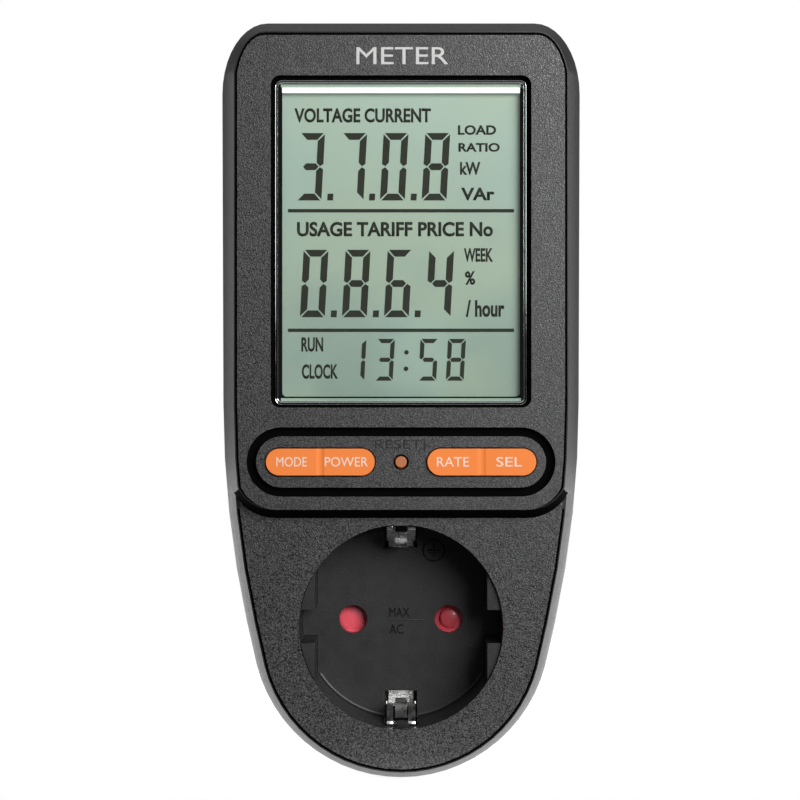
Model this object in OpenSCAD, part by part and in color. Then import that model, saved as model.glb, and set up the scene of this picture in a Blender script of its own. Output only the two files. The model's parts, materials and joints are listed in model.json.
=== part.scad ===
// Plug-in power meter: a mains meter with an LCD, two rocker keys, a reset key and a shuttered
// earthed socket in front, and a matching earthed plug behind.
// Origin: midway between the two plug pins, on the plug's contact face.
// +Z is up, the front faces -Y, and the plug pins point along +Y.

/* [Housing] */
// Half of the overall width at the widest plane
half_w = 35; // [33:0.5:37]
// Height of the top edge above the pin line
top_z = 117.2; // [114:0.2:122]
// Radius of the round lower end
foot_r = 29.2; // [28.8:0.1:29.6]
// Wall thickness of both shells
wall = 2; // [1.8:0.1:2.2]
// Depth of the plug body behind the housing
plug_depth = 17.5; // [17:0.1:18]
// Depth of the housing from its back to the socket face
housing_depth = 30; // [29.8:0.1:30.4]
// Distance from the socket face back to the widest plane, where the shells part
part_depth = 10; // [9.6:0.1:10.4]
// How far the display block stands proud of the socket face
block_rise = 4; // [3.6:0.1:4.4]
// Lower edge of the display block, above the pin line
block_z = 22.7; // [22.4:0.1:23]

/* [Display] */
// Half of the window recess width
window_w = 24.8; // [24.4:0.1:25]
// Lower edge of the window recess
window_z0 = 42.15; // [42:0.05:42.5]
// Upper edge of the window recess
window_z1 = 105.4; // [105:0.1:105.8]
// Width of the dark joint around the window pane
window_gap = 0.6; // [0.4:0.1:0.7]
// Width of the ledge that carries the window pane
ledge = 2.1; // [1.8:0.1:2.3]

/* [Keys] */
// Height of the key row above the pin line
key_z = 31.8; // [31.6:0.1:32]
// Sideways place of each rocker key
key_x = 15.35; // [15.2:0.05:15.5]
// Length of a rocker key
key_len = 20.7; // [20:0.1:21]
// Height of a rocker key
key_h = 5.1; // [4.8:0.1:5.3]
// How far a rocker key stands proud of the block
key_proud = 0.8; // [0.6:0.1:1]

/* [Socket and plug] */
// Distance between the pins
pin_pitch = 19; // [19:0.1:19.2]
// Diameter of a plug pin
pin_d = 4.8; // [4.7:0.05:4.85]
// Length of a plug pin
pin_len = 19; // [18.6:0.1:19.2]
// Diameter of the socket well
well_d = 39.3; // [39:0.1:39.5]
// Depth of the socket well
well_depth = 17.5; // [17:0.1:17.6]
// Diameter of the plug body
plug_d = 37; // [36.8:0.1:37]
// Distance from the middle of the well to its side guides
guide_x = 16.6; // [16.5:0.1:16.8]
// Travel of the shutter from closed to open
shutter_travel = 5.8; // [5.7:0.05:5.9]

/* [Hidden] */

fine = 96;                 // segments of a large circle
small = 48;                // segments of a small circle
eps = 0.02;                // thickness of a slice inside a hull
pass = 1;                  // how far a cutter runs past a face

// Levels along Y, from the plug's contact face forward
back_y = -plug_depth;
face_y = back_y - housing_depth;
part_y = face_y + part_depth;
block_y = face_y - block_rise;
rim_drop = 0.15;           // the smooth rim lies this far below the grained faces
face_wall = 2.2;           // thickness of the wall behind the socket face
block_wall = 2.6;          // thickness of the wall behind the block face
face_in_y = face_y + face_wall;
block_in_y = block_y + block_wall;
back_in_y = back_y - wall;

// Outline of the housing, seen from the front
foot_z = -0.9;             // middle of the round lower end
side_r = 200;              // radius of the gently curved lower sides
side_z = 43;               // where the curved sides run into the straight ones
side_x = half_w - 0.2;     // half width there
corner_w = 9;              // width of an upper corner's ellipse
corner_h = 14;             // height of an upper corner's ellipse
join_a = 14.3;             // angle at which the round end meets the curved sides
arc_step = 6;              // largest angle between two points on an arc

// Inset of the front edge from the widest plane, at the socket face and at the block face
face_inset = 2.15;
block_inset = 2.95;
top_share = 1.15;          // the top edge is moved in by this much more than the sides
curve_power = 1.8;         // how the sides curl in towards the front
curve_steps = [0, 0.25, 0.5, 0.75, 1];
block_corner = 7.5;        // radius of the block's lower corners
corner_growth = 0.4;       // growth of that radius for each millimetre of depth
block_draft = 0.45;        // rise of the block's lower wall for each millimetre of depth
seam = 0.25;               // chamfer on each side of the parting line
groove_rim = 0.2;          // width of the smooth rim outside the face groove
groove_w = 0.45;           // width of the groove around the grained faces
groove_depth = 0.5;        // its depth

// Fastening
screw_top = [26.2, 109.6];
screw_foot_r = 24;
screw_places = [
    screw_top,
    [-screw_top[0], screw_top[1]],
    [screw_foot_r * cos(45), foot_z - screw_foot_r * sin(45)],
    [-screw_foot_r * cos(45), foot_z - screw_foot_r * sin(45)]
];
boss_r = 1.95;             // bosses in the front shell
rear_boss_r = 2.85;        // bosses in the rear shell, around the sunk screw heads
screw_web = 3;             // rear shell left under a screw head
pilot_r = 1.15;
screw_r = 1.1;
screw_head_r = 2;
board_post_r = 2;
board_screw_r = 0.8;
board_pilot_r = 0.85;

// Display stack
window_y = block_y + 0.2;
window_t = 1.1;
ledge_y = window_y + window_t;
lcd_y = block_in_y + 0.1;
glass_t = 1.3;
lcd_half_w = 24.6;
lcd_z0 = 38;
lcd_z1 = 105;
lcd_step_z = 42;           // lower edge of the rear glass, which bares the contact ledge
board_t = 1.6;
display_board_y = block_in_y + 6.3;
power_board_y = back_in_y - 4.4;
display_posts = [[27.2, 98], [-27.2, 98], [27.2, 42], [-27.2, 42]];
power_posts = [[23.5, 31], [-23.5, 31], [23.5, 97], [-23.5, 97]];

// Keys
pocket_len = 58.8;
pocket_h = 13.2;
island_len = 55.2;
island_h = 9.75;
pocket_depth = 1.3;
key_clear = 0.25;
crease_half = 0.85;        // half width of the soft valley across the middle of a rocker key
crease_depth = 0.25;
crease_r = (pow(crease_half, 2) + pow(crease_depth, 2)) / (2 * crease_depth);
pivot_y = block_in_y + 1.6;
pivot_r = 0.8;
pivot_clear = 0.05;
post_x = 7;
switch_h = 3.1;
switch_y = display_board_y - switch_h;
plunger_r = 1.7;
plunger_clear = 0.1;
plunger_proud = 0.9;
plunger_y = switch_y - plunger_proud;
contact_gap = 0.05;
reset_r = 1.12;
reset_hole_r = 1.5;
reset_sink = 0.35;
switch_xs = [-key_x - post_x, -key_x + post_x, 0, key_x - post_x, key_x + post_x];

// Socket
pin_x = pin_pitch / 2;
pin_r = pin_d / 2;
well_r = well_d / 2;
plug_r = plug_d / 2;
floor_y = face_y + well_depth;
floor_t = 2.5;
floor_back_y = floor_y + floor_t;
hole_r = 2.8;
slot_half = 3.2;           // half width of an earth slot
guide_gap = 3.2;           // half height of the gap between two side guides
guide_sink = 1;            // the guides start this far below the socket face
slot_z = 14.2;             // inner end of an earth slot
shutter_t = 2.2;
shutter_clear = 0.25;
shutter_y = floor_back_y + shutter_clear;
carrier_y = shutter_y + shutter_t + shutter_clear;
carrier_t = 2;
shutter_left = -pin_x - shutter_travel - 4;
shutter_right = pin_x + 3.4;
shutter_half = 5.4;
spring_stop_x = 22.3;
spring_turns = 8;
spring_wire = 0.16;
spring_r = 0.9;
strip_t = 0.6;             // thickness of the sheet brass

// ---------------------------------------------------------------- helpers

// A shape drawn in X and Z, standing between two levels along Y
module slab(y_front, y_back) {
    translate([0, y_back, 0])
        rotate([90, 0, 0])
            linear_extrude(y_back - y_front)
                children();
}

// A profile drawn in Y and Z, as wide as given and centred on x
module strip(x, width) {
    translate([x - width / 2, 0, 0])
        rotate([90, 0, 90])
            linear_extrude(width)
                children();
}

// A round rod along Y
module rod(x, z, r, y_front, y_back, segments = small) {
    translate([x, y_back, z])
        rotate([90, 0, 0])
            cylinder(r = r, h = y_back - y_front, $fn = segments);
}

// A box between two corners
module block(low, high) {
    translate(low)
        cube(high - low);
}

module racetrack(length, height) {
    square([length - height, height], center = true);
    for (side = [-1, 1])
        translate([side * (length - height) / 2, 0])
            circle(d = height, $fn = small);
}

module rounded_rect(x0, z0, x1, z1, r) {
    translate([x0 + r, z0])
        square([x1 - x0 - 2 * r, z1 - z0]);
    translate([x0, z0 + r])
        square([x1 - x0, z1 - z0 - 2 * r]);
    for (x = [x0 + r, x1 - r], z = [z0 + r, z1 - r])
        translate([x, z])
            circle(r = r, $fn = small);
}

// Points of an arc or of an ellipse from angle a0 to a1
function arc(cx, cz, rx, rz, a0, a1, steps) = [
    for (i = [0:steps])
        let (a = a0 + (a1 - a0) * i / steps)
        [cx + rx * cos(a), cz + rz * sin(a)]
];

// Right half of the housing outline, from the bottom to the top, moved in by inset
function half_outline(inset) = concat(
    arc(0, foot_z, foot_r - inset, foot_r - inset, -90, -join_a, ceil((90 - join_a) / arc_step)),
    arc(side_x - side_r, side_z, side_r - inset, side_r - inset, -join_a + 2, 0, 4),
    arc(half_w - corner_w, top_z - corner_h, corner_w - inset,
        corner_h - top_share * inset, 0, 90, 10)
);

function mirrored(points) = [for (i = [len(points) - 1:-1:0]) [-points[i][0], points[i][1]]];

module outline(inset) {
    right = half_outline(inset);
    polygon(concat(right, mirrored(right)));
}

// The display block's outline: the housing's, cut off below z0 with rounded lower corners
module block_outline(inset, z0, r) {
    intersection() {
        outline(inset);
        rounded_rect(-side_x + inset, z0, side_x - inset, top_z + 4 * r, r);
    }
}

// How far the side has curled in at step t, where 0 is the widest plane and 1 the front edge
function curl(t) = pow(t, curve_power);

// ---------------------------------------------------------------- housing

// The solid form of the lower body in front of the parting plane
module lower_form() {
    depth = part_depth - rim_drop;
    hull() {
        slab(part_y - eps, part_y)
            outline(seam);
        for (t = curve_steps) {
            y = part_y - seam - t * (depth - seam);
            slab(y, y + eps)
                outline(face_inset * curl(t));
        }
    }
}

// The solid form of the display block, back to the parting plane
module block_form() {
    depth = part_depth + block_rise - rim_drop;
    hull()
        for (t = curve_steps) {
            y = part_y - seam - t * (depth - seam);
            slab(y, y + eps)
                block_outline(
                    0.1 + (block_inset - 0.1) * curl(t),
                    block_z - block_draft * (1 - t) * depth,
                    block_corner + corner_growth * (1 - t) * depth
                );
        }
}

module lower_cavity() {
    hull() {
        slab(part_y - eps, part_y + pass)
            outline(wall);
        slab(face_in_y, face_in_y + eps)
            outline(face_inset + 1.2);
    }
}

module block_cavity() {
    hull() {
        slab(part_y - eps, part_y + pass)
            block_outline(wall + 0.3, block_z - 1, block_corner);
        slab(block_in_y, block_in_y + eps)
            block_outline(block_inset + 1.4, block_z + wall + 0.2, block_corner - wall);
    }
}

// The fine groove around both grained faces
module face_grooves() {
    slab(face_y - pass, face_y + groove_depth)
        difference() {
            outline(face_inset + groove_rim);
            outline(face_inset + groove_rim + groove_w);
            translate([-half_w, block_z])
                square([2 * half_w, top_z]);
        }
    slab(block_y - pass, block_y + groove_depth)
        difference() {
            block_outline(block_inset + groove_rim, block_z, block_corner);
            block_outline(block_inset + groove_rim + groove_w, block_z, block_corner);
        }
}

// The grained faces, which stand a little proud of the smooth rim
module grained_faces() {
    slab(face_y, face_y + wall)
        intersection() {
            outline(face_inset + groove_rim + groove_w);
            translate([-half_w, -half_w])
                square([2 * half_w, half_w + block_z + wall]);
        }
    slab(block_y, block_y + wall)
        block_outline(block_inset + groove_rim + groove_w, block_z, block_corner);
}

// Ears that carry a rocker key's pivot pin
module pivot_ears(x) {
    for (side = [-1, 1])
        translate([x, 0, key_z + side * 4.75])
            difference() {
                block([-1.8, block_in_y - 0.1, -0.6], [1.8, pivot_y + 1.8, 0.6]);
                translate([0, pivot_y, -pass])
                    cylinder(r = pivot_r + pivot_clear, h = 2 * pass, $fn = small);
            }
}

module front_shell() {
    color([0.12, 0.12, 0.125])
        difference() {
            union() {
                difference() {
                    union() {
                        lower_form();
                        block_form();
                        grained_faces();
                    }
                    lower_cavity();
                    block_cavity();
                }
                for (p = screw_places)
                    rod(p[0], p[1], boss_r, face_in_y - 0.1, part_y);
                for (i = [0, 1])
                    rod(screw_places[i][0], screw_places[i][1], boss_r, block_in_y - 0.1, part_y);
                for (p = display_posts)
                    rod(p[0], p[1], board_post_r, block_in_y - 0.1, display_board_y);
                for (side = [-1, 1])
                    pivot_ears(side * key_x);
            }
            face_grooves();
            // Window recess and the opening behind it
            slab(block_y - pass, ledge_y)
                rounded_rect(-window_w, window_z0, window_w, window_z1, 1.8);
            slab(block_y, block_in_y + pass)
                rounded_rect(
                    -window_w + ledge, window_z0 + ledge, window_w - ledge, window_z1 - ledge, 0.8
                );
            // Key row: a moat around an island, with a hole for each key
            translate([0, 0, key_z]) {
                slab(block_y - pass, block_y + pocket_depth)
                    difference() {
                        racetrack(pocket_len, pocket_h);
                        racetrack(island_len, island_h);
                    }
                for (side = [-1, 1])
                    translate([side * key_x, 0, 0])
                        slab(block_y - pass, block_in_y + 0.05)
                            racetrack(key_len + 2 * key_clear, key_h + 2 * key_clear);
            }
            rod(0, key_z, reset_hole_r, block_y - pass, block_in_y + 0.05);
            // Socket opening
            rod(0, 0, well_r, face_y - pass, face_in_y + pass, fine);
            for (p = screw_places)
                rod(p[0], p[1], pilot_r, part_y - 7, part_y + pass);
            for (p = display_posts)
                rod(p[0], p[1], board_pilot_r, display_board_y - 4.5, display_board_y + pass);
        }
}

module rear_form() {
    hull() {
        slab(part_y, part_y + eps)
            outline(seam);
        slab(part_y + seam, part_y + seam + eps)
            outline(0);
        slab(part_y + 12, part_y + 12 + eps)
            outline(0.7);
        slab(back_y - 2.2, back_y - 2.2 + eps)
            outline(1.5);
        slab(back_y - 0.8, back_y - 0.8 + eps)
            outline(1.9);
        slab(back_y - eps, back_y)
            outline(2.8);
    }
}

module rear_cavity() {
    hull() {
        slab(part_y - pass, part_y + eps)
            outline(wall);
        slab(back_in_y - eps, back_in_y)
            outline(wall + 1.7);
    }
}

label_w = 44;
label_z0 = 48;
label_z1 = 88;
label_sink = 0.3;
label_t = 0.15;

module rear_shell() {
    color([0.11, 0.11, 0.115])
        difference() {
            union() {
                difference() {
                    rear_form();
                    rear_cavity();
                }
                for (p = screw_places)
                    rod(p[0], p[1], rear_boss_r, part_y, back_in_y + 0.1);
                for (p = power_posts)
                    rod(p[0], p[1], board_post_r, power_board_y + board_t, back_in_y + 0.1);
            }
            rod(0, 0, plug_r + 0.1, back_in_y - pass, back_y + pass, fine);
            for (p = screw_places) {
                rod(p[0], p[1], screw_r + 0.3, part_y - pass, back_y + pass);
                rod(p[0], p[1], screw_head_r + 0.15, part_y + screw_web, back_y + pass);
            }
            for (p = power_posts)
                rod(p[0], p[1], board_pilot_r, power_board_y, back_in_y + 0.8);
            slab(back_y - label_sink, back_y + pass)
                rounded_rect(-label_w / 2, label_z0, label_w / 2, label_z1, 2);
        }
}

module rating_label() {
    color([0.75, 0.75, 0.76])
        slab(back_y - label_sink, back_y - label_sink + label_t)
            rounded_rect(
                -label_w / 2 + 0.3, label_z0 + 0.3, label_w / 2 - 0.3, label_z1 - 0.3, 1.8
            );
}

// One self-tapping screw with a pan head and a cross recess, driven towards -Y
module screw(x, z, r, head_r, head_h, y_tip, y_seat) {
    difference() {
        union() {
            rod(x, z, r, y_tip, y_seat);
            rod(x, z, head_r, y_seat, y_seat + head_h);
        }
        for (turn = [0, 90])
            translate([x, y_seat + head_h, z])
                rotate([0, turn, 0])
                    block([-head_r * 0.6, -head_h * 0.6, -head_r * 0.14],
                          [head_r * 0.6, pass, head_r * 0.14]);
    }
}

module case_screws() {
    color("silver")
        for (p = screw_places)
            screw(p[0], p[1], screw_r, screw_head_r, 1.8, part_y - 6, part_y + screw_web);
}

// ---------------------------------------------------------------- display

pane_w = window_w - window_gap;
pane_z0 = window_z0 + window_gap / 2;
pane_z1 = window_z1 - window_gap;
pane_bevel = 0.6;

module display_window() {
    color([0.8, 0.88, 0.9, 0.35])
        hull() {
            slab(window_y, window_y + eps)
                rounded_rect(-pane_w + pane_bevel, pane_z0 + pane_bevel,
                             pane_w - pane_bevel, pane_z1 - pane_bevel, 1);
            slab(window_y + pane_bevel, ledge_y)
                rounded_rect(-pane_w, pane_z0, pane_w, pane_z1, 1.4);
        }
}

module lcd_front_glass() {
    color([0.66, 0.74, 0.68])
        block([-lcd_half_w, lcd_y, lcd_z0], [lcd_half_w, lcd_y + glass_t, lcd_z1]);
}

module lcd_rear_glass() {
    color([0.6, 0.68, 0.62])
        block([-lcd_half_w, lcd_y + glass_t, lcd_step_z],
              [lcd_half_w, lcd_y + 2 * glass_t, lcd_z1]);
}

frame_rim = 1.8;
reflector_t = 0.25;
lcd_back_y = lcd_y + 2 * glass_t;

module lcd_reflector() {
    color([0.8, 0.82, 0.8])
        block([-lcd_half_w + frame_rim + 0.1, lcd_back_y, lcd_step_z + frame_rim + 0.1],
              [lcd_half_w - frame_rim - 0.1, lcd_back_y + reflector_t, lcd_z1 - frame_rim - 0.1]);
}

module lcd_frame() {
    color([0.9, 0.9, 0.88])
        difference() {
            block([-lcd_half_w, lcd_back_y, lcd_step_z], [lcd_half_w, display_board_y, lcd_z1]);
            block([-lcd_half_w + frame_rim, lcd_back_y - pass, lcd_step_z + frame_rim],
                  [lcd_half_w - frame_rim, display_board_y + pass, lcd_z1 - frame_rim]);
        }
}

module zebra_strip() {
    color([0.85, 0.45, 0.55])
        block([-22, lcd_y + glass_t, lcd_z0 + 0.6], [22, display_board_y, lcd_z0 + 2.8]);
}

display_board_w = 29.4;
display_board_z0 = 26;
display_board_z1 = 104;

module display_board() {
    color([0.08, 0.35, 0.18])
        difference() {
            block([-display_board_w, display_board_y, display_board_z0],
                  [display_board_w, display_board_y + board_t, display_board_z1]);
            for (p = display_posts)
                rod(p[0], p[1], board_screw_r + 0.2, display_board_y - pass,
                    display_board_y + board_t + pass);
        }
}

module display_board_screws() {
    color("silver")
        for (p = display_posts)
            screw(p[0], p[1], board_screw_r, 1.7, 1.2, display_board_y - 4, display_board_y + board_t);
}

module controller_chip() {
    chip_y = display_board_y + board_t;
    color([0.1, 0.1, 0.1]) {
        block([-5, chip_y + 0.1, 75], [5, chip_y + 1.5, 85]);
        for (i = [0:10], side = [-1, 1])
            let (at = -4 + 0.8 * i) {
                block([at - 0.15, chip_y, 80 + side * 5.6 - 0.7],
                      [at + 0.15, chip_y + 0.7, 80 + side * 5.6 + 0.7]);
                block([side * 5.6 - 0.7, chip_y, 80 + at - 0.15],
                      [side * 5.6 + 0.7, chip_y + 0.7, 80 + at + 0.15]);
            }
    }
}

module crystal() {
    color("silver")
        translate([12, display_board_y + board_t + 1.05, 76])
            cylinder(r = 1, h = 6, $fn = small);
}

module backup_battery() {
    battery_r = 5.8;
    color([0.25, 0.55, 0.3])
        translate([-25, display_board_y + board_t + battery_r + 0.05, 64])
            rotate([0, 90, 0])
                for (cell = [0:2])
                    translate([0, 0, cell * 5.5])
                        cylinder(r = battery_r - (cell == 1 ? 0.1 : 0), h = 5.5, $fn = fine);
}

// ---------------------------------------------------------------- keys

module switch_bodies() {
    color([0.2, 0.2, 0.2])
        for (x = switch_xs)
            difference() {
                block([x - 3, switch_y, key_z - 3], [x + 3, display_board_y, key_z + 3]);
                rod(x, key_z, plunger_r + plunger_clear, switch_y - pass, switch_y + 1.9);
            }
}

module plunger(i) {
    color([0.85, 0.85, 0.82])
        rod(switch_xs[i], key_z, plunger_r, plunger_y, switch_y + 1.5);
}

module plunger_left_outer() { plunger(0); }
module plunger_left_inner() { plunger(1); }
module plunger_reset() { plunger(2); }
module plunger_right_inner() { plunger(3); }
module plunger_right_outer() { plunger(4); }

module rocker(x) {
    cap_y = block_y - key_proud;
    flange_y = block_in_y + 0.6;
    color([0.98, 0.5, 0.2])
        translate([x, 0, key_z]) {
            difference() {
                slab(cap_y, flange_y + 0.1)
                    racetrack(key_len, key_h);
                translate([0, cap_y + crease_depth - crease_r, 0])
                    cylinder(r = crease_r, h = 2 * key_h, center = true, $fn = fine);
            }
            slab(flange_y, flange_y + 0.8)
                racetrack(key_len + 2.2, key_h + 2.2);
            translate([0, pivot_y, -5.2])
                cylinder(r = pivot_r, h = 10.4, $fn = small);
            for (side = [-1, 1]) {
                tip_r = 1.1;
                rod(side * post_x, 0, tip_r, flange_y, plunger_y - contact_gap - 0.3);
                rod(side * post_x, 0, tip_r - 0.3, flange_y, plunger_y - contact_gap);
            }
        }
}

module button_left() { rocker(-key_x); }
module button_right() { rocker(key_x); }

module reset_button() {
    color([0.98, 0.5, 0.2]) {
        rod(0, key_z, reset_r, block_y + reset_sink, block_in_y + 0.7);
        rod(0, key_z, 2.4, block_in_y + 0.6, block_in_y + 1.3);
        rod(0, key_z, 1.1, block_in_y + 1.3, plunger_y - contact_gap);
    }
}

// ---------------------------------------------------------------- socket

// Cross-section of the well, moved in by inset: a circle with side guides and a gap between them
module well_section(inset) {
    intersection() {
        circle(r = well_r - inset, $fn = fine);
        union() {
            square([2 * (guide_x - inset), 2 * well_r + 2], center = true);
            square([2 * well_r + 2, 2 * (guide_gap - inset)], center = true);
        }
    }
}

well_wall = 1.4;
slot_top = well_r + 0.8;
carrier_posts = [[14, 10.5], [-14, 10.5], [14, -10.5], [-14, -10.5]];

base_y = floor_y + 1;      // the well stands on the base here, around the raised floor

// The two slots for the earth contacts, between two levels
module earth_slots(y_front, y_back) {
    for (side = [-1, 1])
        block([-slot_half, y_front, side < 0 ? -slot_top : slot_z],
              [slot_half, y_back, side < 0 ? -slot_z : slot_top]);
}

module socket_well() {
    color([0.1, 0.1, 0.105])
        difference() {
            union() {
                rod(0, 0, well_r + well_wall, face_in_y, base_y, fine);
                rod(0, 0, well_r + 3, face_in_y, face_in_y + 1.4, fine);
                rod(0, 0, well_r - 0.1, face_y + guide_sink, face_in_y + 0.1, fine);
            }
            slab(face_y, base_y + pass)
                well_section(0);
            for (p = screw_places)
                rod(p[0], p[1], boss_r + 0.15, face_in_y - pass, face_in_y + 2);
            earth_slots(face_in_y + 1, base_y + pass);
        }
}

module socket_base() {
    color([0.12, 0.12, 0.125])
        difference() {
            union() {
                slab(floor_y, base_y + 0.1)
                    well_section(0.05);
                rod(0, 0, well_r + well_wall, base_y, floor_back_y, fine);
                for (side = [-1, 1])
                    block([shutter_left - 1, floor_back_y - 0.1, side * (shutter_half + 0.9) - 0.65],
                          [shutter_right + shutter_travel + 1, shutter_y + 1.9,
                           side * (shutter_half + 0.9) + 0.65]);
                block([well_r - 1, base_y, -3.2], [spring_stop_x + 1.6, floor_back_y, 3.2]);
                block([spring_stop_x, base_y, -3.2], [spring_stop_x + 1.6, carrier_y - 0.05, 3.2]);
                for (p = carrier_posts)
                    rod(p[0], p[1], 2.1, floor_back_y - 0.1, carrier_y);
            }
            for (side = [-1, 1])
                rod(side * pin_x, 0, hole_r, floor_y - pass, floor_back_y + pass);
            earth_slots(floor_y - pass, floor_back_y + pass);
            for (p = carrier_posts)
                rod(p[0], p[1], board_pilot_r, floor_back_y - 1.2, carrier_y + pass);
        }
}

module shutter() {
    hole = hole_r + 0.1;
    color([0.75, 0.12, 0.18])
        difference() {
            block([shutter_left, shutter_y, -shutter_half],
                  [shutter_right, shutter_y + shutter_t, shutter_half]);
            for (x = [-pin_x, pin_x]) {
                rod(x - shutter_travel, 0, hole, shutter_y - pass, shutter_y + shutter_t + pass);
                // The ramp that an entering pin pushes aside
                translate([x + 1.6, shutter_y, 0])
                    rotate([0, 0, -20])
                        block([-5.2, -3, -2.4], [0, 0, 2.4]);
            }
        }
}

// Points of the spring's centre line, and a tube swept along them
spring_x0 = shutter_right + 0.05;
spring_len = spring_stop_x - shutter_right - 0.1;
spring_sides = 6;
spring_rings = spring_turns * 12;
spring_y = shutter_y + shutter_t / 2;

function spring_point(i, side) =
    let (
        turn = 360 * i / 12,
        around = 360 * side / spring_sides,
        r = spring_r + spring_wire * cos(around),
        x = spring_x0 + spring_wire
            + (spring_len - 2 * spring_wire) * i / spring_rings + spring_wire * sin(around)
    )
    [x, spring_y + r * cos(turn), r * sin(turn)];

module shutter_spring() {
    rings = [for (i = [0:spring_rings], s = [0:spring_sides - 1]) spring_point(i, s)];
    skin = [
        for (i = [0:spring_rings - 1], s = [0:spring_sides - 1])
            let (
                a = i * spring_sides + s,
                b = i * spring_sides + (s + 1) % spring_sides
            )
            each [[a, b, b + spring_sides], [a, b + spring_sides, a + spring_sides]]
    ];
    first = [for (s = [spring_sides - 1:-1:0]) s];
    last = [for (s = [0:spring_sides - 1]) spring_rings * spring_sides + s];
    color("silver")
        polyhedron(points = rings, faces = concat([first], skin, [last]), convexity = 10);
}

module contact_carrier() {
    color([0.88, 0.87, 0.82])
        difference() {
            block([-16, carrier_y, -13.4], [16, carrier_y + carrier_t, 13.4]);
            for (side = [-1, 1])
                rod(side * pin_x, 0, hole_r + 0.3, carrier_y - pass, carrier_y + carrier_t + pass);
            for (p = carrier_posts)
                rod(p[0], p[1], board_screw_r + 0.2, carrier_y - pass, carrier_y + carrier_t + pass);
        }
}

module carrier_screws() {
    color("silver")
        for (p = carrier_posts)
            screw(p[0], p[1], board_screw_r, 1.6, 1, carrier_y - 3.4, carrier_y + carrier_t);
}

// ---------------------------------------------------------------- contacts

bow_y = carrier_y + carrier_t + 0.3;     // front face of the strap that joins both earth contacts
strip_z = plug_r - 0.9;                  // inner face of the earth contacts along the plug

// Centre line of the upper earth contact from the plug's side to the tip in the socket
earth_line = [
    [-1.5, strip_z + 0.3], [bow_y + strip_t + 0.4, strip_z + 0.3], [bow_y - 2, strip_z],
    [floor_y - 1, strip_z - 0.2], [floor_y - 5, strip_z - 1.4], [floor_y - 8, 15.7],
    [floor_y - 9.5, 15.8], [floor_y - 12, 17.4], [floor_y - 13.2, 18.6], [floor_y - 13.4, 19.4]
];

// Unit direction from point a to point b
function towards(a, b) = (b - a) / norm(b - a);

// The direction square to a bend, as long as a mitred joint needs
function square_to(points, i) =
    let (
        before = i > 0 ? towards(points[i - 1], points[i]) : towards(points[0], points[1]),
        after = i < len(points) - 1 ? towards(points[i], points[i + 1]) : before,
        both = [-before[1] - after[1], before[0] + after[0]]
    )
    both / (1 + before * after);

// A strip of even thickness that follows a line of points
module bent_strip(points, t) {
    one = [for (i = [0:len(points) - 1]) points[i] + square_to(points, i) * t / 2];
    other = [for (i = [len(points) - 1:-1:0]) points[i] - square_to(points, i) * t / 2];
    polygon(concat(one, other));
}

module earth_bow() {
    legs = [
        [bow_y + strip_t + 0.4, strip_z + 0.3], [bow_y - 2, strip_z], [floor_y - 1, strip_z - 0.2],
        [floor_y - 6, 16.6], [floor_y - 10, 17.2], [floor_y - 13, 18.9]
    ];
    color([0.82, 0.8, 0.74])
        for (side = [0, 1])
            mirror([0, 0, side]) {
                strip(0, 2.2)
                    bent_strip(earth_line, strip_t);
                for (x = [-1, 1])
                    strip(x * 2.3, 0.9)
                        bent_strip(legs, strip_t);
                strip(0, 5.6)
                    bent_strip([earth_line[0], earth_line[1]], strip_t);
                strip(0, 5)
                    bent_strip([[bow_y + strip_t / 2, 0], [bow_y + strip_t / 2, strip_z + 0.3]], strip_t);
            }
}

earth_hole_z = 10;
earth_hole_r = 2.7;
earth_grip_r = 2.3;        // the split tube grips the wall socket's earth pin
earth_tube_r = 3.2;

module earth_hole_contact() {
    color([0.85, 0.68, 0.35]) {
        difference() {
            rod(0, earth_hole_z, earth_tube_r, -14, -3.2);
            rod(0, earth_hole_z, earth_grip_r, -15, -2);
            block([-0.3, -15, earth_hole_z], [0.3, -6, earth_hole_z + 5]);
        }
        block([-1.2, bow_y + strip_t, earth_hole_z - 3.2], [1.2, -13, earth_hole_z - 2.65]);
    }
}

sleeve_r = 3.2;
sleeve_bore = 2.5;
sleeve_y0 = carrier_y + carrier_t + 0.2;
sleeve_y1 = -11;
tail_y = -7;
eye_y = -4.6;              // back face of the straps that are riveted to the pins
strap_y = power_board_y + board_t + 0.2;

// A split female sleeve for one plug pin
module sleeve(x) {
    difference() {
        rod(x, 0, sleeve_r, sleeve_y0, sleeve_y1);
        rod(x, 0, sleeve_bore, sleeve_y0 - pass, sleeve_y1 + pass);
        block([x - 0.3, sleeve_y0 - pass, -sleeve_r - 1], [x + 0.3, sleeve_y1 - 4, 0]);
    }
}

// The riveted eye on a pin's tail, with a tab up to its own leg
module pin_eye(x) {
    difference() {
        block([x - 2.5, eye_y - 0.8, -3], [x + 2.5, eye_y, 6.4]);
        rod(x, 0, 1.5, eye_y - 2, eye_y + pass);
    }
}

module live_in_strap() {
    x0 = pin_x - 2.5;
    x1 = pin_x - 0.3;
    color([0.8, 0.55, 0.25]) {
        pin_eye(pin_x);
        block([x0, strap_y, 5.6], [x1, eye_y, 6.4]);
        block([x0, strap_y, 5.6], [x1, strap_y + 0.8, 31]);
        block([x0, strap_y - 0.2, 28], [x1, strap_y + 0.8, 31]);
    }
}

module live_out_contact() {
    x0 = pin_x + 0.4;
    x1 = pin_x + 2.6;
    color([0.8, 0.55, 0.25]) {
        sleeve(pin_x);
        block([x0, strap_y, 2.6], [x1, strap_y + 0.8, 31]);
        block([x0, strap_y - 0.2, 28], [x1, strap_y + 0.8, 31]);
    }
}

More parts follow.
